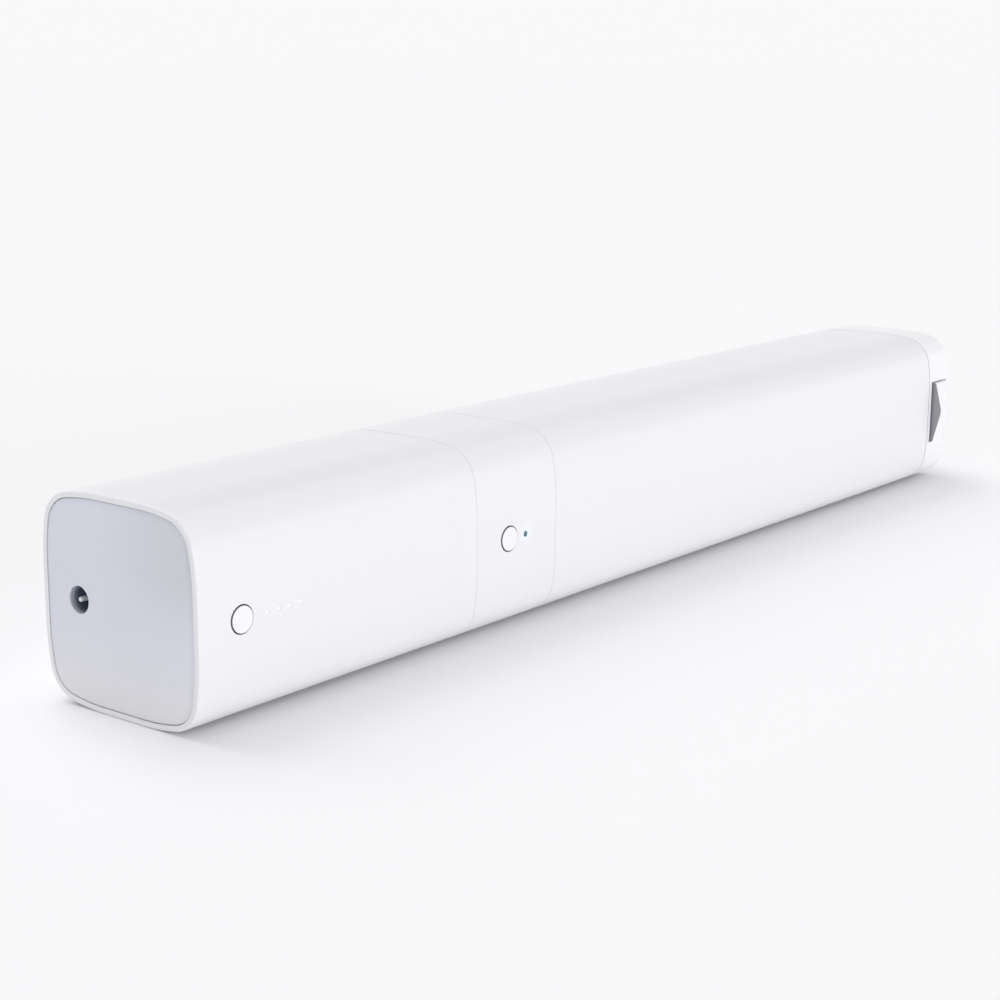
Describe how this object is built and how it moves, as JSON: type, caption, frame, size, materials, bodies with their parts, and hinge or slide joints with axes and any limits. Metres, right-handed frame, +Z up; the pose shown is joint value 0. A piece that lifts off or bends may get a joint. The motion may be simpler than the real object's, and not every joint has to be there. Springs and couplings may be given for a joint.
{
  "type": "curtain track drive motor",
  "caption": "Soft-square bar-shaped battery drive motor of a curtain track, with a clip-on battery pack, charging jack, push buttons, indicator lights, latch and drive hub",
  "frame": {"origin": "On the resting surface, under the middle of the overall length and under the drive's axis.", "axes": "+X runs along the body from the battery end to the drive hub, -Y is the side with the buttons, lights and latch, +Z is up from the resting surface."},
  "size_m": [0.4334, 0.0641, 0.06],
  "materials": {
    "white_housing": "satin white moulded ABS, finely grained",
    "pale_panel": "flat pale lavender-grey moulded panel",
    "white_button": "smooth bright white button",
    "dark_plastic": "near-black moulded nylon",
    "light_pipe": "clear, slightly milky light guide",
    "status_lens": "translucent teal indicator lens",
    "circuit_board": "green solder mask over glass-fibre laminate",
    "black_component": "moulded black component bodies",
    "nickel": "nickel-plated contact metal",
    "steel": "bare machined steel",
    "spring_steel": "blued spring steel strip",
    "screw_steel": "zinc-plated screws",
    "aluminium_can": "drawn and anodised shell",
    "copper_winding": "enamelled copper wire",
    "magnet": "sintered magnet, dark grey",
    "cell_wrap": "shrink-wrapped blue cells",
    "isolator_rubber": "soft black rubber",
    "gear_plastic": "natural acetal",
    "sintered_bronze": "oil-filled sintered bronze",
    "wire_jacket": "silicone-jacketed leads"
  },
  "bodies": {
    "housing": {"main_shell": "white_housing", "control_band": "white_housing", "head_cap": "white_housing", "head_screws": "screw_steel", "band_screws": "screw_steel", "contact_blades": "nickel", "pack_clips": "spring_steel", "main_board": "circuit_board", "radio_module": "nickel", "board_capacitors": "black_component", "board_chips": "black_component", "setup_switch": "black_component", "status_light": "status_lens", "motor_can": "aluminium_can", "stator_core": "steel", "stator_coils": "copper_winding", "motor_end_bell": "dark_plastic", "hall_board": "circuit_board", "motor_leads": "wire_jacket", "rear_support": "dark_plastic", "isolators": "isolator_rubber", "motor_mount": "dark_plastic", "gear_housing": "dark_plastic", "gearbox_cover": "dark_plastic", "gearbox_screws": "screw_steel", "output_bush": "sintered_bronze", "head_bush": "sintered_bronze", "latch_pin": "steel", "latch_spring": "spring_steel"},
    "battery_pack": {"battery_shell": "white_housing", "end_panel": "pale_panel", "charge_jack": "dark_plastic", "jack_pin": "nickel", "charge_board": "circuit_board", "gauge_board": "circuit_board", "gauge_switch": "black_component", "gauge_leds": "light_pipe", "gauge_light_pipes": "light_pipe", "battery_cells": "cell_wrap", "cell_cradles": "dark_plastic", "cell_links": "nickel", "protection_board": "circuit_board", "pack_bulkhead": "dark_plastic", "pack_sockets": "nickel", "bulkhead_screws": "screw_steel"},
    "battery_button": {"battery_button": "white_button"},
    "setup_button": {"setup_button": "white_button"},
    "latch_lever": {"latch_lever": "white_housing"},
    "rotor": {"rotor_shaft": "steel", "rotor_magnet": "magnet"},
    "first_carrier": {"first_carrier": "gear_plastic"},
    "output": {"output_carrier": "steel", "drive_hub": "dark_plastic", "hub_screw": "screw_steel"},
    "first_planet_1": {"first_planet_1": "gear_plastic"},
    "second_planet_1": {"second_planet_1": "steel"},
    "first_planet_2": {"first_planet_2": "gear_plastic"},
    "second_planet_2": {"second_planet_2": "steel"},
    "first_planet_3": {"first_planet_3": "gear_plastic"},
    "second_planet_3": {"second_planet_3": "steel"}
  },
  "joints": [
    {"name": "pack_release", "type": "slide", "parent": "housing", "child": "battery_pack", "axis": [-1, 0, 0], "range_m": [0, 0.04], "deforming": ["pack_clips"]},
    {"name": "battery_button_press", "type": "slide", "parent": "battery_pack", "child": "battery_button", "axis": [0, 1, 0], "range_m": [0, 0.0005], "stiffness_N_per_m": 3000, "springref_m": -0.0002},
    {"name": "setup_button_press", "type": "slide", "parent": "housing", "child": "setup_button", "axis": [0, 1, 0], "range_m": [0, 0.0005], "stiffness_N_per_m": 3000, "springref_m": -0.0002},
    {"name": "latch_turn", "type": "hinge", "parent": "housing", "child": "latch_lever", "pos_m": [0.1978, -0.027, 0.0292], "axis": [0, 0, -1], "range_deg": [0, 9], "stiffness_Nm_per_rad": 0.4, "springref_deg": -5.73, "deforming": ["latch_spring"]},
    {"name": "output_turn", "type": "hinge", "parent": "housing", "child": "output", "pos_m": [0, 0, 0.03], "axis": [1, 0, 0], "continuous": true},
    {"name": "rotor_turn", "type": "hinge", "parent": "housing", "child": "rotor", "pos_m": [0, 0, 0.03], "axis": [1, 0, 0], "continuous": true},
    {"name": "first_carrier_turn", "type": "hinge", "parent": "housing", "child": "first_carrier", "pos_m": [0, 0, 0.03], "axis": [1, 0, 0], "continuous": true},
    {"name": "first_planet_1_turn", "type": "hinge", "parent": "first_carrier", "child": "first_planet_1", "pos_m": [0, 0, 0.039], "axis": [1, 0, 0], "continuous": true},
    {"name": "second_planet_1_turn", "type": "hinge", "parent": "output", "child": "second_planet_1", "pos_m": [0, 0, 0.039], "axis": [1, 0, 0], "continuous": true},
    {"name": "first_planet_2_turn", "type": "hinge", "parent": "first_carrier", "child": "first_planet_2", "pos_m": [0, -0.00779, 0.0255], "axis": [1, 0, 0], "continuous": true},
    {"name": "second_planet_2_turn", "type": "hinge", "parent": "output", "child": "second_planet_2", "pos_m": [0, -0.00779, 0.0255], "axis": [1, 0, 0], "continuous": true},
    {"name": "first_planet_3_turn", "type": "hinge", "parent": "first_carrier", "child": "first_planet_3", "pos_m": [0, 0.00779, 0.0255], "axis": [1, 0, 0], "continuous": true},
    {"name": "second_planet_3_turn", "type": "hinge", "parent": "output", "child": "second_planet_3", "pos_m": [0, 0.00779, 0.0255], "axis": [1, 0, 0], "continuous": true}
  ],
  "couplings": [
    {"joint": "rotor_turn", "follows": "output_turn", "ratio": 25},
    {"joint": "first_carrier_turn", "follows": "output_turn", "ratio": 5},
    {"joint": "first_planet_1_turn", "follows": "output_turn", "ratio": -13.333},
    {"joint": "second_planet_1_turn", "follows": "output_turn", "ratio": -2.6667},
    {"joint": "first_planet_2_turn", "follows": "output_turn", "ratio": -13.333},
    {"joint": "second_planet_2_turn", "follows": "output_turn", "ratio": -2.6667},
    {"joint": "first_planet_3_turn", "follows": "output_turn", "ratio": -13.333},
    {"joint": "second_planet_3_turn", "follows": "output_turn", "ratio": -2.6667}
  ]
}
